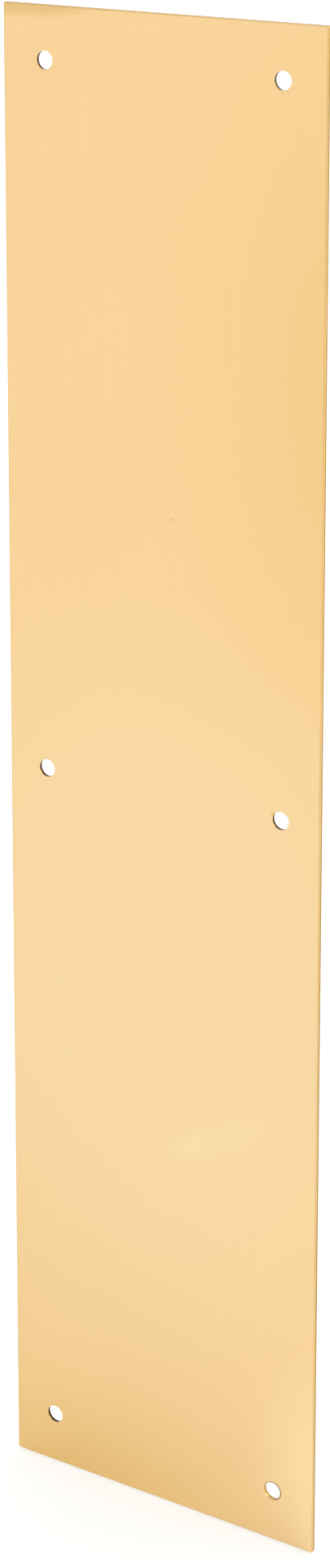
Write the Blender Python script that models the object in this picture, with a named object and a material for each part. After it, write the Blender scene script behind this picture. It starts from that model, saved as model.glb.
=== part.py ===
"""A flat brass door plate with six empty screw holes, three down each long side.

The plate is one piece of rolled brass sheet, cut to a rectangle, punched and polished. It stands
upright in its own frame: X runs across its width, Z up its height, and its polished front faces -Y.
The origin is the centre of the flat back face, which lies against the door.
"""

import math

import bmesh
import bpy

INCH = 0.0254

# The sheet, in metres.
PLATE_WIDTH = 3.5 * INCH
PLATE_HEIGHT = 15.0 * INCH
PLATE_THICKNESS = 0.050 * INCH
CORNER_RADIUS = 0.0004
EDGE_BREAK = 0.00012

# The screw holes. A margin runs from the plate's edge to a hole's centre.
HOLE_DIAMETER = 0.0045
HOLE_EDGE_BREAK = 0.00010
END_MARGIN = 0.0132
CORNER_SIDE_MARGIN = 0.0117
MIDDLE_SIDE_MARGIN = 0.0108

# How finely round shapes are faceted, and how far a cutter runs past the faces it cuts.
CORNER_SEGMENTS = 4
EDGE_SEGMENTS = 2
HOLE_SEGMENTS = 64
CUTTER_OVERRUN = 0.0006
SHARP_ANGLE = math.radians(40.0)

# Polished, clear-coated brass.
BRASS_COLOUR = (0.86, 0.60, 0.27, 1.0)
BRASS_METALLIC = 1.0
BRASS_ROUGHNESS = 0.16


def clear_scene():
    """Removes every object, so that the file holds only this plate."""
    for item in list(bpy.data.objects):
        bpy.data.objects.remove(item)


def polished_brass():
    """The plate's material."""
    material = bpy.data.materials.new("polished_brass")
    material.use_nodes = True
    shader = material.node_tree.nodes["Principled BSDF"]
    shader.inputs["Base Color"].default_value = BRASS_COLOUR
    shader.inputs["Metallic"].default_value = BRASS_METALLIC
    shader.inputs["Roughness"].default_value = BRASS_ROUGHNESS
    return material


def object_from(name, build):
    """A new object whose mesh is filled in by build(bm), smooth on its round faces."""
    mesh = bpy.data.meshes.new(name)
    bm = bmesh.new()
    build(bm)
    bmesh.ops.recalc_face_normals(bm, faces=bm.faces)
    bm.to_mesh(mesh)
    bm.free()
    mesh.shade_smooth()
    mesh.set_sharp_from_angle(angle=SHARP_ANGLE)
    item = bpy.data.objects.new(name, mesh)
    bpy.context.collection.objects.link(item)
    return item


def rounded_outline(width, height, radius):
    """The points (x, z) of a rectangle with round corners, anticlockwise from the lower right."""
    points = []
    corners = ((1, -1, -90), (1, 1, 0), (-1, 1, 90), (-1, -1, 180))
    for side_x, side_z, start in corners:
        centre_x = side_x * (width / 2 - radius)
        centre_z = side_z * (height / 2 - radius)
        for step in range(CORNER_SEGMENTS + 1):
            angle = math.radians(start + 90.0 * step / CORNER_SEGMENTS)
            points.append((centre_x + radius * math.cos(angle), centre_z + radius * math.sin(angle)))
    return points


def build_sheet(bm):
    """The uncut sheet: its outline on the back plane, extruded to the front face."""
    outline = rounded_outline(PLATE_WIDTH, PLATE_HEIGHT, CORNER_RADIUS)
    back = bm.faces.new([bm.verts.new((x, 0.0, z)) for x, z in outline])
    grown = bmesh.ops.extrude_face_region(bm, geom=[back])
    front = [item for item in grown["geom"] if isinstance(item, bmesh.types.BMVert)]
    bmesh.ops.translate(bm, verts=front, vec=(0.0, -PLATE_THICKNESS, 0.0))


def hole_centres():
    """The six hole centres (x, z): a pair near each end and a slightly wider pair at mid-height."""
    end_z = PLATE_HEIGHT / 2 - END_MARGIN
    rows = ((end_z, CORNER_SIDE_MARGIN), (0.0, MIDDLE_SIDE_MARGIN), (-end_z, CORNER_SIDE_MARGIN))
    return [
        (side * (PLATE_WIDTH / 2 - margin), z) for z, margin in rows for side in (-1, 1)
    ]


def build_hole_cutter(bm):
    """A turned plug along Y: the hole's straight wall, flared at both faces to break their rims."""
    radius = HOLE_DIAMETER / 2
    flare = HOLE_EDGE_BREAK + CUTTER_OVERRUN
    profile = (
        (radius + flare, -PLATE_THICKNESS - CUTTER_OVERRUN),
        (radius, -PLATE_THICKNESS + HOLE_EDGE_BREAK),
        (radius, -HOLE_EDGE_BREAK),
        (radius + flare, CUTTER_OVERRUN),
    )
    turns = [math.tau * step / HOLE_SEGMENTS for step in range(HOLE_SEGMENTS)]
    rings = [
        [bm.verts.new((r * math.cos(turn), y, r * math.sin(turn))) for turn in turns]
        for r, y in profile
    ]
    for near, far in zip(rings, rings[1:]):
        for step in range(HOLE_SEGMENTS):
            following = (step + 1) % HOLE_SEGMENTS
            bm.faces.new((near[step], near[following], far[following], far[step]))
    bm.faces.new(rings[0])
    bm.faces.new(rings[-1])


def make_plate():
    """The plate: the sheet with its edges broken and its six holes cut."""
    plate = object_from("plate", build_sheet)
    plate.data.materials.append(polished_brass())
    bevel = plate.modifiers.new("broken_edges", "BEVEL")
    bevel.width = EDGE_BREAK
    bevel.segments = EDGE_SEGMENTS
    bevel.limit_method = "ANGLE"
    bevel.angle_limit = SHARP_ANGLE
    for number, (x, z) in enumerate(hole_centres(), start=1):
        cutter = object_from(f"hole_cutter_{number}", build_hole_cutter)
        cutter.location = (x, 0.0, z)
        cutter.hide_render = True
        cutter.display_type = "WIRE"
        cut = plate.modifiers.new(f"hole_{number}", "BOOLEAN")
        cut.operation = "DIFFERENCE"
        cut.solver = "EXACT"
        cut.object = cutter
    return plate


clear_scene()
make_plate()
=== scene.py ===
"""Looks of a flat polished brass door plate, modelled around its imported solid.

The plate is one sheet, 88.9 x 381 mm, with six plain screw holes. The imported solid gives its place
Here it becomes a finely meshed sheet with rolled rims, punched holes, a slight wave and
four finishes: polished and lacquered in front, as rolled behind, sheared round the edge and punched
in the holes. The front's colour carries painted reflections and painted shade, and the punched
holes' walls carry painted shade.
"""

import logging
import math
from collections.abc import Iterable, Sequence
from dataclasses import dataclass, field
from enum import Enum

import bmesh
import bpy
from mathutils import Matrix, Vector


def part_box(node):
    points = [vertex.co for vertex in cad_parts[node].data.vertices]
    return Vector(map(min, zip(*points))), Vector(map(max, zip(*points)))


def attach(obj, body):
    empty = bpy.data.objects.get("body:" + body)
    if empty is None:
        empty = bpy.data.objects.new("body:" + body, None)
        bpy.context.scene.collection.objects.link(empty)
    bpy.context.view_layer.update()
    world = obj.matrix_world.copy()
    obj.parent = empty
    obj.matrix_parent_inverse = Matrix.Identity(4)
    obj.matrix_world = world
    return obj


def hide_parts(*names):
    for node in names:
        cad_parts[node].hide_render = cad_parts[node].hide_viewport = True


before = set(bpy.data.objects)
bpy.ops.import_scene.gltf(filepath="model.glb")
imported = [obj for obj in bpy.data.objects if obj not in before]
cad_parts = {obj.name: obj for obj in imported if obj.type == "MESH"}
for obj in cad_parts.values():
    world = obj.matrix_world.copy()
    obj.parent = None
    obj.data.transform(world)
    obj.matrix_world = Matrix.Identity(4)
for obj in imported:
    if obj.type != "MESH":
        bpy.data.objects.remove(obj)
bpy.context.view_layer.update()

LOG = logging.getLogger("door_plate")
MM = 0.001

Colour = tuple[float, float, float, float]
Link = tuple[bpy.types.Node, str | int]

FLOOR_GAP = 0.5 * MM
NOISE_MIDDLE = (0.5, 0.5, 0.5)

# A Mix node keeps its sockets at these numbers: its share, its two colours and their mix, and its
# two plain numbers and their mix.
MIX_SHARE = 0
MIX_FIRST, MIX_SECOND, MIX_RESULT = 6, 7, 2
NUMBER_FIRST, NUMBER_SECOND, NUMBER_RESULT = 2, 3, 0


class Kind(Enum):
    """The shader nodes that the finishes are made of."""

    OBJECT_PLACE = "ShaderNodeTexCoord"
    MAPPING = "ShaderNodeMapping"
    NOISE = "ShaderNodeTexNoise"
    RANGE = "ShaderNodeMapRange"
    MATH = "ShaderNodeMath"
    VECTOR_MATH = "ShaderNodeVectorMath"
    SPLIT = "ShaderNodeSeparateXYZ"
    MIX = "ShaderNodeMix"
    BUMP = "ShaderNodeBump"
    SHADER = "ShaderNodeBsdfPrincipled"
    OUTPUT = "ShaderNodeOutputMaterial"
    WORLD_LIGHT = "ShaderNodeBackground"
    WORLD_OUTPUT = "ShaderNodeOutputWorld"


class Surface(Enum):
    """The four kinds of surface on the sheet, numbered as its material slots."""

    FRONT = 0
    BACK = 1
    EDGE = 2
    BORE = 3


def srgb(code: str) -> Colour:
    """Turn an sRGB hex colour into a linear colour with full alpha.

    Args:
        code: Six hex digits, such as "f2c98a".

    Returns:
        Linear red, green and blue, and an alpha of 1.
    """
    shares = [int(code[place:place + 2], 16) / 255 for place in (0, 2, 4)]
    linear = [s / 12.92 if s <= 0.04045 else ((s + 0.055) / 1.055) ** 2.4 for s in shares]
    return (*linear, 1.0)


def per_metre(size_mm: float) -> float:
    """Give the texture scale of a pattern whose features are size_mm wide."""
    return 1.0 / (size_mm * MM)


def add_node(
    tree: bpy.types.NodeTree,
    kind: Kind,
    settings: dict[str, object] | None = None,
    inputs: dict[str | int, object] | None = None,
) -> bpy.types.Node:
    """Add a node with its settings, socket values and links.

    Args:
        tree: The node tree to add to.
        kind: The kind of node.
        settings: Values for the node's own properties.
        inputs: For each input socket, a plain value or a link as (node, output).

    Returns:
        The new node.
    """
    node = tree.nodes.new(kind.value)
    for name, value in (settings or {}).items():
        setattr(node, name, value)
    for name, value in (inputs or {}).items():
        if isinstance(value, tuple) and isinstance(value[0], bpy.types.Node):
            tree.links.new(value[0].outputs[value[1]], node.inputs[name])
        else:
            node.inputs[name].default_value = value
    return node


@dataclass(frozen=True)
class Finish:
    """One finish: it fills the sockets of a Principled shader with its own nodes."""

    name: str

    def sockets(self, tree: bpy.types.NodeTree) -> dict[str | int, object]:
        """Add the finish's nodes.

        Args:
            tree: The material's node tree.

        Returns:
            The value or link of each shader socket that the finish sets.
        """
        raise NotImplementedError

    def material(self) -> bpy.types.Material:
        """Build the finish's material.

        Returns:
            The material, with its shader and output.
        """
        material = bpy.data.materials.new(self.name)
        material.use_nodes = True
        tree = material.node_tree
        tree.nodes.clear()
        shader = add_node(tree, Kind.SHADER, inputs=self.sockets(tree))
        add_node(tree, Kind.OUTPUT, inputs={"Surface": (shader, "BSDF")})
        return material


@dataclass(frozen=True)
class SpeckAndPaintedLight:
    """A soft-edged patch of changed tone on the lacquer: most are painted reflections, highlights and
    shade, one is a real speck.
    """

    colour: str
    centre_mm: tuple[float, float]
    reach_mm: tuple[float, float]
    strength: float = 1.0
    lean: float = 0.0
    core: float = 0.0
    wanders: bool = False

    def mask(self, tree: bpy.types.NodeTree, place: Link) -> bpy.types.Node:
        """Make the patch's mask from the place on the sheet.

        Args:
            tree: The node tree to add to.
            place: The place on the sheet, in metres.

        Returns:
            The range node, whose "Result" is strength in the patch's core and 0 beyond its reach.
        """
        centre_x, centre_z = self.centre_mm
        reach_x, reach_z = self.reach_mm
        moved = add_node(
            tree,
            Kind.MAPPING,
            {"vector_type": "TEXTURE"},
            {
                "Vector": place,
                "Location": (centre_x * MM, 0.0, centre_z * MM),
                "Rotation": (0.0, math.radians(-self.lean), 0.0),
                "Scale": (reach_x * MM, 1.0, reach_z * MM),
            },
        )
        far = add_node(tree, Kind.VECTOR_MATH, {"operation": "LENGTH"}, {0: (moved, "Vector")})
        return add_node(
            tree,
            Kind.RANGE,
            {"interpolation_type": "SMOOTHERSTEP"},
            {
                "Value": (far, "Value"),
                "From Min": self.core,
                "From Max": 1.0,
                "To Min": self.strength,
                "To Max": 0.0,
            },
        )


@dataclass(frozen=True)
class PolishedBrass(Finish):
    """Yellow brass sheet (about 70 parts copper, 30 zinc), buffed to a mirror and lacquered clear."""

    name: str = "yellow_brass_buffed_lacquered"
    half_width: float = 44.45 * MM
    half_height: float = 190.5 * MM
    colour: str = "ecca94"
    warm_colour: str = "e9c58a"
    tone_mm: float = 160.0
    grain_share: float = 0.06
    specks_and_painted_light: tuple[SpeckAndPaintedLight, ...] = (
        # Wide soft patches of painted reflection and painted shade: painted reflections of bright
        # floor, pale below the middle and at the lower right, a yellower painted reflection at the
        # upper right, and painted shade, deeper at the foot, where shade on the floor would be
        # mirrored.
        SpeckAndPaintedLight("ebcd99", (0.0, -55.0), (95.0, 125.0), core=0.3, wanders=True),
        SpeckAndPaintedLight("e6c180", (66.0, 105.0), (78.0, 120.0), wanders=True),
        SpeckAndPaintedLight("e6bf70", (-14.0, -212.0), (80.0, 64.0), strength=0.55, wanders=True),
        SpeckAndPaintedLight("d8ae56", (-50.0, -204.0), (86.0, 58.0), strength=0.4, wanders=True),
        SpeckAndPaintedLight("f2daa4", (56.0, -166.0), (40.0, 42.0), strength=0.8, wanders=True),
        # A darker wedge in the top left corner: a painted reflection of the dim far floor.
        SpeckAndPaintedLight("dcb87c", (-44.0, 191.0), (34.0, 4.8), core=0.35),
        # A pale diagonal streak with a brighter end: a painted highlight.
        SpeckAndPaintedLight("f6deb0", (16.5, -87.2), (24.0, 6.5), strength=0.15, lean=27.0),
        SpeckAndPaintedLight("f6deb0", (7.7, -90.3), (9.0, 4.5), strength=0.15, lean=27.0),
        # A tan speck under the lacquer.
        SpeckAndPaintedLight("c9a76e", (3.4, 69.7), (0.42, 0.52), core=0.2),
        # Darker gold beside the two middle holes: painted shade of their dished rims.
        SpeckAndPaintedLight("e2b45a", (-32.0, -1.5), (0.9, 0.8), strength=0.5, core=0.3),
        SpeckAndPaintedLight("d8a548", (31.6, 1.3), (0.9, 0.9), strength=0.5, core=0.3),
        # A dark ring round the lower right hole: painted shade of its rolled rim.
        SpeckAndPaintedLight("6e4c18", (32.92, -177.2), (2.6, 2.6), strength=0.85, core=0.9),
    )
    # How far, and how slowly, the outlines of the wide patches stray.
    wander_mm: float = 60.0
    wander_reach: float = 14.0 * MM
    rim_colour: str = "bd9048"
    rim_reach: float = 0.45 * MM
    # Buffing lines are a few hundredths of a millimetre apart, too fine to show, so they are
    # drawn 1.1 mm apart and kept very faint.
    grain_mm: float = 1.1
    grain_length: float = 0.018
    grain_detail: float = 4.0
    grain_spread: tuple[float, float] = (0.35, 0.65)
    haze_mm: float = 40.0
    haze_detail: float = 3.0
    haze_spread: tuple[float, float] = (0.25, 0.75)
    roughness: tuple[float, float] = (0.12, 0.19)
    rim_roughness: float = 0.12
    grain_depth: float = 0.0006 * MM
    grain_roughness: float = 0.2
    coat_weight: float = 0.35
    coat_roughness: float = 0.05
    # Wiping leaves hairline scratches, really a few microns wide, drawn about 0.3 mm wide.
    scratch_mm: float = 3.0
    scratch_lean: float = 24.0
    scratch_length: float = 0.05
    scratch_detail: float = 1.0
    scratch_threshold: float = 0.68
    scratch_softness: float = 0.03
    scratch_roughness: float = 0.1
    scratch_depth: float = 0.003 * MM

    def scratches(self, tree: bpy.types.NodeTree, place: Link) -> bpy.types.Node:
        """Mask the few hairline scratches that wiping has left.

        Args:
            tree: The node tree to add to.
            place: The place on the sheet, in metres.

        Returns:
            The range node, whose "Result" is 1 in a scratch.
        """
        leaned = add_node(
            tree,
            Kind.MAPPING,
            inputs={
                "Vector": place,
                "Rotation": (0.0, math.radians(self.scratch_lean), 0.0),
                "Scale": (1.0, 1.0, self.scratch_length),
            },
        )
        lines = add_node(
            tree,
            Kind.NOISE,
            inputs={
                "Vector": (leaned, "Vector"),
                "Scale": per_metre(self.scratch_mm),
                "Detail": self.scratch_detail,
            },
        )
        return add_node(
            tree,
            Kind.RANGE,
            inputs={
                "Value": (lines, "Fac"),
                "From Min": self.scratch_threshold,
                "From Max": self.scratch_threshold + self.scratch_softness,
            },
        )

    def wandered_place(self, tree: bpy.types.NodeTree, place: Link) -> bpy.types.Node:
        """Push the place on the sheet about, so that no wide patch has a true outline.

        Args:
            tree: The node tree to add to.
            place: The place on the sheet, in metres.

        Returns:
            The sum node, whose output is "Vector".
        """
        wander = add_node(
            tree, Kind.NOISE, inputs={"Vector": place, "Scale": per_metre(self.wander_mm)}
        )
        centred = add_node(
            tree,
            Kind.VECTOR_MATH,
            {"operation": "SUBTRACT"},
            {0: (wander, "Color"), 1: NOISE_MIDDLE},
        )
        pushed = add_node(
            tree,
            Kind.VECTOR_MATH,
            {"operation": "SCALE"},
            {0: (centred, "Vector"), "Scale": self.wander_reach},
        )
        return add_node(
            tree, Kind.VECTOR_MATH, {"operation": "ADD"}, {0: place, 1: (pushed, "Vector")}
        )

    def rim_mask(self, tree: bpy.types.NodeTree, place: Link, haze: Link) -> bpy.types.Node:
        """Mask the strip along the sheet's rim, where handling has worn the lacquer.

        Args:
            tree: The node tree to add to.
            place: The place on the sheet, in metres.
            haze: A slow noise that breaks the strip up.

        Returns:
            The product node, whose output is "Value".
        """
        parts = add_node(tree, Kind.SPLIT, inputs={"Vector": place})
        strips = []
        for axis, half in (("X", self.half_width), ("Z", self.half_height)):
            size = add_node(tree, Kind.MATH, {"operation": "ABSOLUTE"}, {0: (parts, axis)})
            strips.append(
                add_node(
                    tree,
                    Kind.RANGE,
                    inputs={
                        "Value": (size, "Value"),
                        "From Min": half - self.rim_reach,
                        "From Max": half,
                    },
                )
            )
        nearest = add_node(
            tree,
            Kind.MATH,
            {"operation": "MAXIMUM"},
            {0: (strips[0], "Result"), 1: (strips[1], "Result")},
        )
        return add_node(
            tree, Kind.MATH, {"operation": "MULTIPLY"}, {0: (nearest, "Value"), 1: haze}
        )

    def tone(
        self, tree: bpy.types.NodeTree, place: Link, grain: Link, rim: Link
    ) -> bpy.types.Node:
        """Colour the sheet: a slow drift of tone, faint streaks, its patches of painted reflection
        and painted shade with one speck, and its worn rim.

        Args:
            tree: The node tree to add to.
            place: The place on the sheet, in metres.
            grain: The buffing grain.
            rim: The rim's mask.

        Returns:
            The last mix node.
        """
        drift = add_node(
            tree, Kind.NOISE, inputs={"Vector": place, "Scale": per_metre(self.tone_mm)}
        )
        streaks = add_node(
            tree,
            Kind.RANGE,
            inputs={
                "Value": grain,
                "From Min": self.grain_spread[0],
                "From Max": self.grain_spread[1],
            },
        )
        streaked = add_node(
            tree,
            Kind.MIX,
            {"data_type": "FLOAT"},
            {
                MIX_SHARE: self.grain_share,
                NUMBER_FIRST: (drift, "Fac"),
                NUMBER_SECOND: (streaks, "Result"),
            },
        )
        colour = add_node(
            tree,
            Kind.MIX,
            {"data_type": "RGBA"},
            {
                MIX_SHARE: (streaked, NUMBER_RESULT),
                MIX_FIRST: srgb(self.colour),
                MIX_SECOND: srgb(self.warm_colour),
            },
        )
        wandered = self.wandered_place(tree, place)
        for speck_or_painted_light in self.specks_and_painted_light:
            mask = speck_or_painted_light.mask(tree, (wandered, "Vector") if speck_or_painted_light.wanders else place)
            colour = add_node(
                tree,
                Kind.MIX,
                {"data_type": "RGBA"},
                {
                    MIX_SHARE: (mask, "Result"),
                    MIX_FIRST: (colour, MIX_RESULT),
                    MIX_SECOND: srgb(speck_or_painted_light.colour),
                },
            )
        return add_node(
            tree,
            Kind.MIX,
            {"data_type": "RGBA"},
            {
                MIX_SHARE: rim,
                MIX_FIRST: (colour, MIX_RESULT),
                MIX_SECOND: srgb(self.rim_colour),
            },
        )

    def sockets(self, tree: bpy.types.NodeTree) -> dict[str | int, object]:
        """Add the nodes of a pale gold mirror, softened by an upright grain under a thin coat.

        Args:
            tree: The material's node tree.

        Returns:
            The value or link of each shader socket.
        """
        spot = add_node(tree, Kind.OBJECT_PLACE)
        place = (spot, "Object")
        drawn_out = add_node(
            tree,
            Kind.MAPPING,
            inputs={"Vector": place, "Scale": (1.0, 1.0, self.grain_length)},
        )
        grain = add_node(
            tree,
            Kind.NOISE,
            inputs={
                "Vector": (drawn_out, "Vector"),
                "Scale": per_metre(self.grain_mm),
                "Detail": self.grain_detail,
            },
        )
        haze = add_node(
            tree,
            Kind.NOISE,
            inputs={
                "Vector": place,
                "Scale": per_metre(self.haze_mm),
                "Detail": self.haze_detail,
            },
        )
        rim = self.rim_mask(tree, place, (haze, "Fac"))
        colour = self.tone(tree, place, (grain, "Fac"), (rim, "Value"))
        mixed = add_node(
            tree,
            Kind.MIX,
            {"data_type": "FLOAT"},
            {
                MIX_SHARE: self.grain_roughness,
                NUMBER_FIRST: (haze, "Fac"),
                NUMBER_SECOND: (grain, "Fac"),
            },
        )
        rough = add_node(
            tree,
            Kind.RANGE,
            inputs={
                "Value": (mixed, NUMBER_RESULT),
                "From Min": self.haze_spread[0],
                "From Max": self.haze_spread[1],
                "To Min": self.roughness[0],
                "To Max": self.roughness[1],
            },
        )
        worn_rough = add_node(
            tree,
            Kind.MATH,
            {"operation": "MULTIPLY_ADD"},
            {0: (rim, "Value"), 1: self.rim_roughness, 2: (rough, "Result")},
        )
        scratches = self.scratches(tree, place)
        scratched_rough = add_node(
            tree,
            Kind.MATH,
            {"operation": "MULTIPLY_ADD"},
            {0: (scratches, "Result"), 1: self.scratch_roughness, 2: (worn_rough, "Value")},
        )
        bump = add_node(
            tree, Kind.BUMP, inputs={"Height": (grain, "Fac"), "Distance": self.grain_depth}
        )
        scored = add_node(
            tree,
            Kind.BUMP,
            {"invert": True},
            {
                "Height": (scratches, "Result"),
                "Distance": self.scratch_depth,
                "Normal": (bump, "Normal"),
            },
        )
        return {
            "Base Color": (colour, MIX_RESULT),
            "Metallic": 1.0,
            "Roughness": (scratched_rough, "Value"),
            "Normal": (scored, "Normal"),
            "Coat Weight": self.coat_weight,
            "Coat Roughness": self.coat_roughness,
        }


@dataclass(frozen=True)
class RolledBrass(Finish):
    """The back of the sheet as it left the rolls: satin, with lengthwise lines and faint stains."""

    name: str = "yellow_brass_as_rolled"
    colour: str = "dfbb78"
    stain_colour: str = "cda968"
    # Roll lines are about 0.1 mm apart, and drawn 1.5 mm apart so that they show.
    line_mm: float = 1.5
    line_length: float = 0.012
    line_detail: float = 5.0
    line_spread: tuple[float, float] = (0.3, 0.7)
    line_share: float = 0.35
    stain_mm: float = 34.0
    stain_detail: float = 3.0
    stain_spread: tuple[float, float] = (0.3, 0.75)
    roughness: tuple[float, float] = (0.22, 0.34)
    line_depth: float = 0.004 * MM

    def sockets(self, tree: bpy.types.NodeTree) -> dict[str | int, object]:
        """Add the nodes of a duller gold, whose long satin lines soften what it mirrors.

        Args:
            tree: The material's node tree.

        Returns:
            The value or link of each shader socket.
        """
        spot = add_node(tree, Kind.OBJECT_PLACE)
        drawn_out = add_node(
            tree,
            Kind.MAPPING,
            inputs={"Vector": (spot, "Object"), "Scale": (1.0, 1.0, self.line_length)},
        )
        lines = add_node(
            tree,
            Kind.NOISE,
            inputs={
                "Vector": (drawn_out, "Vector"),
                "Scale": per_metre(self.line_mm),
                "Detail": self.line_detail,
            },
        )
        stains = add_node(
            tree,
            Kind.NOISE,
            inputs={
                "Vector": (spot, "Object"),
                "Scale": per_metre(self.stain_mm),
                "Detail": self.stain_detail,
            },
        )
        share = add_node(
            tree,
            Kind.MIX,
            {"data_type": "FLOAT"},
            {
                MIX_SHARE: self.line_share,
                NUMBER_FIRST: (stains, "Fac"),
                NUMBER_SECOND: (lines, "Fac"),
            },
        )
        spread = add_node(
            tree,
            Kind.RANGE,
            inputs={
                "Value": (share, NUMBER_RESULT),
                "From Min": self.stain_spread[0],
                "From Max": self.stain_spread[1],
            },
        )
        colour = add_node(
            tree,
            Kind.MIX,
            {"data_type": "RGBA"},
            {
                MIX_SHARE: (spread, "Result"),
                MIX_FIRST: srgb(self.colour),
                MIX_SECOND: srgb(self.stain_colour),
            },
        )
        rough = add_node(
            tree,
            Kind.RANGE,
            inputs={
                "Value": (lines, "Fac"),
                "From Min": self.line_spread[0],
                "From Max": self.line_spread[1],
                "To Min": self.roughness[0],
                "To Max": self.roughness[1],
            },
        )
        bump = add_node(
            tree, Kind.BUMP, inputs={"Height": (lines, "Fac"), "Distance": self.line_depth}
        )
        return {
            "Base Color": (colour, MIX_RESULT),
            "Metallic": 1.0,
            "Roughness": (rough, "Result"),
            "Normal": (bump, "Normal"),
        }


@dataclass(frozen=True)
class CutBrass(Finish):
    """Brass that a blade or a punch has cut: burnished near the front, torn towards the back."""

    burnished_colour: str
    torn_colour: str
    front_y: float
    thickness: float
    burnished_share: float = 0.42
    blur: float = 0.12
    unevenness: float = 0.22
    nick_mm: float = 0.7
    nick_detail: float = 3.0
    roughness: tuple[float, float] = (0.25, 0.55)
    nick_depth: float = 0.015 * MM

    def sockets(self, tree: bpy.types.NodeTree) -> dict[str | int, object]:
        """Add the nodes of two bands across the sheet's thickness, split by an uneven line.

        Args:
            tree: The material's node tree.

        Returns:
            The value or link of each shader socket.
        """
        spot = add_node(tree, Kind.OBJECT_PLACE)
        nicks = add_node(
            tree,
            Kind.NOISE,
            inputs={
                "Vector": (spot, "Object"),
                "Scale": per_metre(self.nick_mm),
                "Detail": self.nick_detail,
            },
        )
        parts = add_node(tree, Kind.SPLIT, inputs={"Vector": (spot, "Object")})
        depth = add_node(
            tree,
            Kind.RANGE,
            inputs={
                "Value": (parts, "Y"),
                "From Min": self.front_y,
                "From Max": self.front_y + self.thickness,
            },
        )
        uneven = add_node(
            tree,
            Kind.MATH,
            {"operation": "MULTIPLY_ADD"},
            {0: (nicks, "Fac"), 1: self.unevenness, 2: (depth, "Result")},
        )
        middle = self.burnished_share + self.unevenness / 2
        torn = add_node(
            tree,
            Kind.RANGE,
            {"interpolation_type": "SMOOTHSTEP"},
            {
                "Value": (uneven, "Value"),
                "From Min": middle - self.blur,
                "From Max": middle + self.blur,
            },
        )
        colour = add_node(
            tree,
            Kind.MIX,
            {"data_type": "RGBA"},
            {
                MIX_SHARE: (torn, "Result"),
                MIX_FIRST: srgb(self.burnished_colour),
                MIX_SECOND: srgb(self.torn_colour),
            },
        )
        rough = add_node(
            tree,
            Kind.RANGE,
            inputs={
                "Value": (torn, "Result"),
                "To Min": self.roughness[0],
                "To Max": self.roughness[1],
            },
        )
        bump = add_node(
            tree, Kind.BUMP, inputs={"Height": (nicks, "Fac"), "Distance": self.nick_depth}
        )
        return {
            "Base Color": (colour, MIX_RESULT),
            "Metallic": 1.0,
            "Roughness": (rough, "Result"),
            "Normal": (bump, "Normal"),
        }


@dataclass(frozen=True)
class LightTable(Finish):
    """Opal acrylic, lit from beneath: a plain white floor on which shadows stay pale."""

    name: str = "opal_acrylic_light_table"
    colour: str = "b4b4b4"
    roughness: float = 0.9
    glow: float = 0.592

    def sockets(self, tree: bpy.types.NodeTree) -> dict[str | int, object]:
        """Give the sockets of a matt white with a low glow of its own.

        Args:
            tree: The material's node tree.

        Returns:
            The value of each shader socket.
        """
        return {
            "Base Color": srgb(self.colour),
            "Roughness": self.roughness,
            "Emission Color": srgb("ffffff"),
            "Emission Strength": self.glow,
        }


@dataclass(frozen=True)
class HolePattern:
    """Six plain screw holes: a pair near each end and a slightly wider pair at mid-height."""

    diameter: float = 4.5 * MM
    end_margin: float = 13.2 * MM
    corner_side_margin: float = 11.7 * MM
    middle_side_margin: float = 10.8 * MM
    rim_radius: float = 0.08 * MM
    # The punch tears the bore wider towards the back, and draws the front in round the hole.
    flare: float = 0.12 * MM
    dish_reach: float = 0.7 * MM
    dish_depths: tuple[float, ...] = (
        0.05 * MM, 0.06 * MM, 0.07 * MM, 0.05 * MM, 0.05 * MM, 0.09 * MM
    )
    # This hole was cut clean, so its wall has the bright finish of the sheared edge.
    bright_hole: int = 5

    def wall_radius(self, front: bool) -> float:
        """Give the radius of a hole's wall where it meets the front or the back."""
        return self.diameter / 2 + (0.0 if front else self.flare)

    def centres(self, width: float, height: float) -> list[tuple[float, float]]:
        """Place the holes on a plate.

        Args:
            width: The plate's width.
            height: The plate's height.

        Returns:
            The centres (x, z), left then right, from the top pair down.
        """
        end = height / 2 - self.end_margin
        rows = (
            (end, self.corner_side_margin),
            (0.0, self.middle_side_margin),
            (-end, self.corner_side_margin),
        )
        return [(side * (width / 2 - margin), z) for z, margin in rows for side in (-1, 1)]

    def dish(self, beyond: float, number: int) -> float:
        """Say how far the front dips beside a hole, where the punch drew the sheet in.

        Args:
            beyond: The distance outside the hole's wall.
            number: Which hole, from 0.

        Returns:
            The depth below the front face.
        """
        if beyond >= self.dish_reach:
            return 0.0
        return self.dish_depths[number] * (1 - beyond / self.dish_reach) ** 2


@dataclass(frozen=True)
class SheetWaves:
    """The slow, shallow waves that rolling and shearing leave in a thin sheet."""

    height: float = 0.05 * MM
    # Each wave: its length in millimetres, its lean in degrees, its phase and its share.
    waves: tuple[tuple[float, float, float, float], ...] = (
        (310.0, 0.0, 0.4, 0.45),
        (140.0, 25.0, 1.9, 0.30),
        (95.0, -35.0, 4.1, 0.25),
    )

    def lift(self, x: float, z: float) -> float:
        """Say how far the sheet stands back from its foremost place.

        Args:
            x: The place across the plate.
            z: The place up the plate.

        Returns:
            A distance from 0 to the waves' full height.
        """
        total = 0.0
        for length, lean, phase, share in self.waves:
            angle = math.radians(lean)
            along = (z * math.cos(angle) + x * math.sin(angle)) / (length * MM)
            total += share * math.cos(math.tau * along + phase)
        return self.height * (total + 1) / 2


def quarter_round(distance: float, radius: float) -> float:
    """Give the depth of a quarter-round rim.

    Args:
        distance: How far in from the rim.
        radius: The rounding's radius.

    Returns:
        The depth below the face, from radius at the rim to 0.
    """
    inward = radius - max(distance, 0.0)
    if inward <= 0:
        return 0.0
    return radius - math.sqrt(radius**2 - inward**2)


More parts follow.
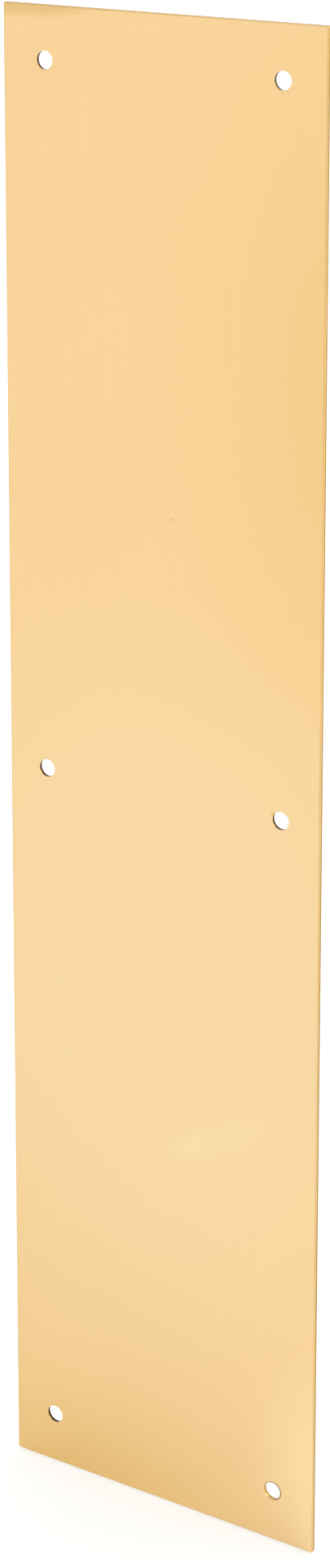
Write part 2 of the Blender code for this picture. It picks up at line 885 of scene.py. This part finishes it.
class SheetFace:
    """One face of the sheet: a grid of cells with a patch of rings round each hole."""

    def __init__(self, plate: "DoorPlate", bm: bmesh.types.BMesh, front: bool) -> None:
        """Keep what the face is built from.

        Args:
            plate: The plate whose face this is.
            bm: The mesh to build in.
            front: Whether this is the front face.
        """
        self.plate = plate
        self.bm = bm
        self.front = front
        self.slot = Surface.FRONT if front else Surface.BACK
        self.columns = plate.lines(plate.width)
        self.rows = plate.lines(plate.height)
        self.corners: dict[tuple[int, int], bmesh.types.BMVert] = {}
        self.splits: dict[tuple[tuple[int, int], tuple[int, int]], list[bmesh.types.BMVert]] = {}

    def vertex(self, x: float, z: float) -> bmesh.types.BMVert:
        """Add a vertex at a layout place, on the face."""
        x, z, rim = self.plate.round_corner(x, z)
        return self.bm.verts.new((x, self.plate.face_y(x, z, rim, self.front), z))

    def corner(self, key: tuple[int, int]) -> bmesh.types.BMVert:
        """Give the vertex where a column line and a row line cross."""
        if key not in self.corners:
            self.corners[key] = self.vertex(self.columns[key[0]], self.rows[key[1]])
        return self.corners[key]

    def add(self, vertices: Sequence[bmesh.types.BMVert]) -> None:
        """Add a face of the sheet from its vertices."""
        made = self.bm.faces.new(vertices)
        made.material_index = self.slot.value
        made.smooth = True

    def walk(self, block: tuple[int, int, int, int]) -> list[tuple[int, int]]:
        """Go round a block of cells.

        Args:
            block: The block's first and last column line, and its first and last row line.

        Returns:
            The line crossings, anticlockwise from the block's lower left.
        """
        left, right, low, high = block
        return (
            [(column, low) for column in range(left, right)]
            + [(right, row) for row in range(low, high)]
            + [(column, high) for column in range(right, left, -1)]
            + [(left, row) for row in range(high, low, -1)]
        )

    def blocks(self) -> list[tuple[int, int, int, int]]:
        """Choose the block of cells that each hole's rings replace.

        Returns:
            For each hole, the first and last column line, and the first and last row line.
        """

        def nearest(lines: Sequence[float], value: float) -> int:
            """Give the number of the line nearest to value."""
            return min(range(len(lines)), key=lambda number: abs(lines[number] - value))

        half = self.plate.patch_half
        return [
            (
                nearest(self.columns, x - half),
                nearest(self.columns, x + half),
                nearest(self.rows, z - half),
                nearest(self.rows, z + half),
            )
            for x, z in self.plate.hole_centres
        ]

    def outline(self, block: tuple[int, int, int, int]) -> list[bmesh.types.BMVert]:
        """Split the sides of a block finely, so that its rings can be round.

        Args:
            block: The block's lines, as blocks gives them.

        Returns:
            The block's outline, anticlockwise from its lower left.
        """
        crossings = self.walk(block)
        count = self.plate.side_splits
        outline = []
        for here, there in zip(crossings, crossings[1:] + crossings[:1]):
            start = Vector((self.columns[here[0]], self.rows[here[1]]))
            end = Vector((self.columns[there[0]], self.rows[there[1]]))
            between = [self.vertex(*start.lerp(end, part / count)) for part in range(1, count)]
            self.splits[(here, there)] = between
            self.splits[(there, here)] = between[::-1]
            outline += [self.corner(here), *between]
        return outline

    def hole_rings(
        self, outline: Sequence[bmesh.types.BMVert], number: int
    ) -> list[bmesh.types.BMVert]:
        """Fill the space between a block's outline and its hole.

        Args:
            outline: The block's outline.
            number: Which hole, from 0.

        Returns:
            The ring on the hole's wall.
        """
        count = len(outline)
        # The outline starts at the block's lower left, so the rings do too.
        lower_left = math.radians(-135.0)
        turns = [lower_left + math.tau * step / count for step in range(count)]
        ways = [Vector((math.cos(turn), math.sin(turn))) for turn in turns]
        middle = Vector(self.plate.hole_centres[number])
        wall = self.plate.holes.wall_radius(self.front)
        radii = [wall + beyond for beyond in self.plate.ring_steps]
        rings = [[self.vertex(*(middle + way * radius)) for way in ways] for radius in radii]
        targets = [Vector((vertex.co.x, vertex.co.z)) for vertex in outline]
        for share in self.plate.loft_shares:
            places = [
                (middle + way * radii[-1]).lerp(target, share)
                for way, target in zip(ways, targets)
            ]
            rings.append([self.vertex(*place) for place in places])
        rings.append(list(outline))
        for inner, outer in zip(rings, rings[1:]):
            for step in range(count):
                after = (step + 1) % count
                self.add((inner[step], outer[step], outer[after], inner[after]))
        return rings[0]

    def build(self) -> tuple[list[bmesh.types.BMVert], list[list[bmesh.types.BMVert]]]:
        """Build the face.

        Returns:
            The sheet's outer rim, anticlockwise, and the ring on each hole's wall.
        """
        blocks = self.blocks()
        rings = [self.hole_rings(self.outline(block), n) for n, block in enumerate(blocks)]
        covered = {
            (column, row)
            for left, right, low, high in blocks
            for column in range(left, right)
            for row in range(low, high)
        }
        for row in range(len(self.rows) - 1):
            for column in range(len(self.columns) - 1):
                if (column, row) in covered:
                    continue
                loop = self.walk((column, column + 1, row, row + 1))
                vertices = []
                for here, there in zip(loop, loop[1:] + loop[:1]):
                    vertices += [self.corner(here), *self.splits.get((here, there), [])]
                self.add(vertices)
        whole = (0, len(self.columns) - 1, 0, len(self.rows) - 1)
        return [self.corner(key) for key in self.walk(whole)], rings


@dataclass
class DoorPlate:
    """The whole object: one sheet of brass, meshed finely enough for its rims and waves."""

    low: Vector
    high: Vector
    holes: HolePattern = field(default_factory=HolePattern)
    waves: SheetWaves = field(default_factory=SheetWaves)
    corner_radius: float = 0.4 * MM
    edge_round: float = 0.2 * MM
    rim_steps: tuple[float, ...] = (
        0.0, 0.015 * MM, 0.05 * MM, 0.1 * MM, 0.17 * MM, 0.25 * MM, 0.33 * MM, 0.4 * MM, 1.2 * MM
    )
    # Each hole has a square patch of rings in place of the grid, its sides split for roundness.
    pitch: float = 3.0 * MM
    patch_half: float = 4.6 * MM
    side_splits: int = 6
    ring_steps: tuple[float, ...] = (
        0.0, 0.015 * MM, 0.04 * MM, 0.08 * MM, 0.16 * MM, 0.3 * MM, 0.5 * MM, 0.7 * MM
    )
    loft_shares: tuple[float, ...] = (0.2, 0.45, 0.72)
    # Across the thickness from the front: the share of the depth, and how far the wall stands
    # back into the metal there.
    sheared_profile: tuple[tuple[float, float], ...] = (
        (0.25, 0.0), (0.45, 0.005 * MM), (0.6, 0.03 * MM), (0.8, 0.035 * MM)
    )
    punched_profile: tuple[tuple[float, float], ...] = (
        (0.2, 0.0), (0.4, 0.0), (0.5, 0.03 * MM), (0.7, 0.08 * MM)
    )

    @property
    def width(self) -> float:
        """The plate's width."""
        return self.high.x - self.low.x

    @property
    def height(self) -> float:
        """The plate's height."""
        return self.high.z - self.low.z

    @property
    def hole_centres(self) -> list[tuple[float, float]]:
        """The holes' centres on this plate."""
        return self.holes.centres(self.width, self.height)

    def lines(self, length: float) -> list[float]:
        """Lay out the mesh lines across one side: close together at both rims, even between.

        Args:
            length: The side's length.

        Returns:
            The line positions, from -length / 2 to length / 2.
        """
        inner = length - 2 * self.rim_steps[-1]
        count = round(inner / self.pitch)
        rim = [-length / 2 + step for step in self.rim_steps]
        middle = [-inner / 2 + inner * step / count for step in range(1, count)]
        return rim + middle + [-line for line in reversed(rim)]

    def round_corner(self, x: float, z: float) -> tuple[float, float, float]:
        """Draw the square corners of the layout in to round ones.

        Args:
            x: The layout's place across the plate.
            z: The layout's place up the plate.

        Returns:
            The moved x and z, and the distance in from the rim.
        """
        radius = self.corner_radius
        u = (abs(x) - (self.width / 2 - radius)) / radius
        v = (abs(z) - (self.height / 2 - radius)) / radius
        if u <= 0 or v <= 0:
            return x, z, min(self.width / 2 - abs(x), self.height / 2 - abs(z))
        across = u * math.sqrt(1 - v * v / 2)
        along = v * math.sqrt(1 - u * u / 2)
        moved_x = math.copysign(self.width / 2 - radius + radius * across, x)
        moved_z = math.copysign(self.height / 2 - radius + radius * along, z)
        return moved_x, moved_z, radius * (1 - math.hypot(across, along))

    def face_y(self, x: float, z: float, rim: float, front: bool) -> float:
        """Say where a face of the sheet lies along Y.

        Args:
            x: The place across the plate.
            z: The place up the plate.
            rim: The distance in from the plate's rim.
            front: Whether this is the front face.

        Returns:
            The Y coordinate.
        """
        depth = quarter_round(rim, self.edge_round)
        wall = self.holes.wall_radius(front)
        for number, (hole_x, hole_z) in enumerate(self.hole_centres):
            beyond = max(math.hypot(x - hole_x, z - hole_z) - wall, 0.0)
            if beyond < self.holes.dish_reach:
                depth += quarter_round(beyond, self.holes.rim_radius)
                depth += self.holes.dish(beyond, number) if front else 0.0
        lift = self.waves.lift(x, z)
        if front:
            return self.low.y + lift + depth
        return self.high.y - (self.waves.height - lift) - depth

    def build_wall(
        self,
        bm: bmesh.types.BMesh,
        front: Sequence[bmesh.types.BMVert],
        back: Sequence[bmesh.types.BMVert],
        surface: Surface,
        bore: bool,
    ) -> None:
        """Join a loop of the front to its loop of the back with a cut wall.

        Args:
            bm: The mesh to build in.
            front: The front's loop, anticlockwise.
            back: The back's loop, in the same order.
            surface: Whose finish the wall takes.
            bore: Whether this is a hole's wall, with the metal outside it.
        """
        count = len(front)
        profile = self.punched_profile if bore else self.sheared_profile
        into_metal = []
        for step in range(count):
            along = front[(step + 1) % count].co - front[step - 1].co
            way = Vector((-along.z, 0.0, along.x)).normalized()
            into_metal.append(-way if bore else way)
        loops = [list(front)]
        for share, offset in profile:
            loop = []
            for here, there, way in zip(front, back, into_metal):
                place = here.co + way * offset
                place.y = here.co.y + (there.co.y - here.co.y) * share
                loop.append(bm.verts.new(place))
            loops.append(loop)
        loops.append(list(back))
        for near, far in zip(loops, loops[1:]):
            for step in range(count):
                after = (step + 1) % count
                made = bm.faces.new((near[step], far[step], far[after], near[after]))
                made.material_index = surface.value
                made.smooth = True

    def build(self) -> bpy.types.Object:
        """Build the sheet.

        Returns:
            The new object, without materials.
        """
        bm = bmesh.new()
        front_rim, front_rings = SheetFace(self, bm, front=True).build()
        back_rim, back_rings = SheetFace(self, bm, front=False).build()
        self.build_wall(bm, front_rim, back_rim, Surface.EDGE, bore=False)
        for number, (front, back) in enumerate(zip(front_rings, back_rings)):
            bright = number == self.holes.bright_hole
            self.build_wall(bm, front, back, Surface.EDGE if bright else Surface.BORE, bore=True)
        bmesh.ops.recalc_face_normals(bm, faces=bm.faces)
        mesh = bpy.data.meshes.new("brass_sheet")
        bm.to_mesh(mesh)
        bm.free()
        sheet = bpy.data.objects.new("brass_sheet", mesh)
        bpy.context.scene.collection.objects.link(sheet)
        return sheet

    def dress(self, sheet: bpy.types.Object) -> None:
        """Give the sheet its four finishes, in the order of Surface.

        Args:
            sheet: The object that build made.
        """
        front_y, thickness = self.low.y, self.high.y - self.low.y
        finishes = (
            PolishedBrass(half_width=self.width / 2, half_height=self.height / 2),
            RolledBrass(),
            CutBrass("yellow_brass_sheared", "dfb66c", "b08a45", front_y, thickness),
            # The punched walls are dark partly from their dull torn cut and partly from painted shade
            # inside the holes.
            CutBrass(
                "yellow_brass_punched_painted_shade",
                "9a7030",
                "38220a",
                front_y,
                thickness,
                burnished_share=0.28,
            ),
        )
        for finish in finishes:
            sheet.data.materials.append(finish.material())


def direction(azimuth: float, elevation: float) -> Vector:
    """Give the way from the plate to something that stands round it.

    Args:
        azimuth: Degrees from the front, -Y, towards the right, +X.
        elevation: Degrees above the horizon.

    Returns:
        A unit vector.
    """
    turn, climb = math.radians(azimuth), math.radians(elevation)
    return Vector(
        (math.sin(turn) * math.cos(climb), -math.cos(turn) * math.cos(climb), math.sin(climb))
    )


@dataclass(frozen=True)
class FarSoftbox:
    """A wide soft lamp, far enough away to light the whole floor evenly."""

    name: str
    azimuth: float
    elevation: float
    width_degrees: float
    strength: float
    distance: float = 3.0

    def build(self) -> bpy.types.Object:
        """Make the lamp.

        Returns:
            The lamp object.
        """
        toward = direction(self.azimuth, self.elevation)
        lamp = bpy.data.lights.new(self.name, "SUN")
        lamp.angle = math.radians(self.width_degrees)
        lamp.energy = self.strength
        item = bpy.data.objects.new(self.name, lamp)
        item.location = toward * self.distance
        item.rotation_mode = "QUATERNION"
        item.rotation_quaternion = toward.to_track_quat("Z", "Y")
        bpy.context.scene.collection.objects.link(item)
        return item


@dataclass(frozen=True)
class FloorPool:
    """A square lamp that looks straight down and leaves a soft pool of light on the floor."""

    name: str
    place: tuple[float, float, float]
    size: float
    power: float

    def build(self) -> bpy.types.Object:
        """Make the lamp.

        Returns:
            The lamp object.
        """
        lamp = bpy.data.lights.new(self.name, "AREA")
        lamp.size = self.size
        lamp.energy = self.power
        item = bpy.data.objects.new(self.name, lamp)
        item.location = self.place
        bpy.context.scene.collection.objects.link(item)
        return item


@dataclass(frozen=True)
class CameraStand:
    """Where the camera stands: to the plate's right, level with a place above its top edge."""

    azimuth: float = 32.514
    elevation: float = 12.129
    distance: float = 0.7520
    aim_x: float = 0.00115
    aim_z: float = 0.11974
    lens_mm: float = 73.366
    sensor_mm: float = 36.0
    rise: float = -0.30

    def build(self, front_y: float) -> bpy.types.Object:
        """Make the camera and give it to the scene.

        Args:
            front_y: Where the plate's front face lies along Y.

        Returns:
            The camera object.
        """
        back = direction(self.azimuth, self.elevation)
        lens = bpy.data.cameras.new("camera")
        lens.sensor_width = self.sensor_mm
        lens.lens = self.lens_mm
        lens.shift_y = self.rise
        item = bpy.data.objects.new("camera", lens)
        item.location = Vector((self.aim_x, front_y, self.aim_z)) + back * self.distance
        item.rotation_mode = "QUATERNION"
        item.rotation_quaternion = (-back).to_track_quat("-Z", "Y")
        bpy.context.scene.collection.objects.link(item)
        bpy.context.scene.camera = item
        return item


@dataclass(frozen=True)
class Studio:
    """A light table for a floor, an even pale surround and one soft lamp."""

    floor_z: float
    floor_radius: float = 9.0
    floor_sides: int = 96
    surround: str = "ffffff"
    surround_strength: float = 1.05
    lamps: tuple[FarSoftbox | FloorPool, ...] = (
        FarSoftbox("key_softbox", azimuth=115.0, elevation=35.0, width_degrees=40.0, strength=0.4),
        # The back of the plate mirrors this pool as a pale sheen over its upper half.
        FloorPool("back_pool", place=(1.0, 1.0, 0.7), size=0.5, power=8.0),
    )

    def build_floor(self) -> bpy.types.Object:
        """Make the floor, a wide disc.

        Returns:
            The floor object.
        """
        bm = bmesh.new()
        bmesh.ops.create_circle(
            bm, cap_ends=True, segments=self.floor_sides, radius=self.floor_radius
        )
        mesh = bpy.data.meshes.new("light_table")
        bm.to_mesh(mesh)
        bm.free()
        floor = bpy.data.objects.new("light_table", mesh)
        floor.location = (0.0, 0.0, self.floor_z)
        floor.data.materials.append(LightTable().material())
        bpy.context.scene.collection.objects.link(floor)
        return floor

    def build_surround(self) -> None:
        """Light the room evenly from all round."""
        world = bpy.data.worlds.new("pale_room")
        world.use_nodes = True
        tree = world.node_tree
        tree.nodes.clear()
        light = add_node(
            tree,
            Kind.WORLD_LIGHT,
            inputs={"Color": srgb(self.surround), "Strength": self.surround_strength},
        )
        add_node(tree, Kind.WORLD_OUTPUT, inputs={"Surface": (light, "Background")})
        bpy.context.scene.world = world

    def build(self) -> None:
        """Make the floor, the surround and the lamps."""
        self.build_floor()
        self.build_surround()
        for lamp in self.lamps:
            lamp.build()
        bpy.context.scene.view_settings.view_transform = "Standard"


def main() -> None:
    """Build the plate, the studio and the camera."""
    low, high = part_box("plate")
    plate = DoorPlate(low, high)
    sheet = plate.build()
    plate.dress(sheet)
    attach(sheet, "root")
    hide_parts("plate")
    LOG.info("%s: %d faces, rides root, replaces plate", sheet.name, len(sheet.data.polygons))
    studio = Studio(floor_z=low.z - FLOOR_GAP)
    studio.build()
    LOG.info("light_table: %.1f m wide, stage", 2 * studio.floor_radius)
    camera = CameraStand().build(front_y=low.y)
    LOG.info("%s: %.1f mm lens", camera.name, camera.data.lens)


if __name__ == "__main__":
    logging.basicConfig(level=logging.INFO)
    main()
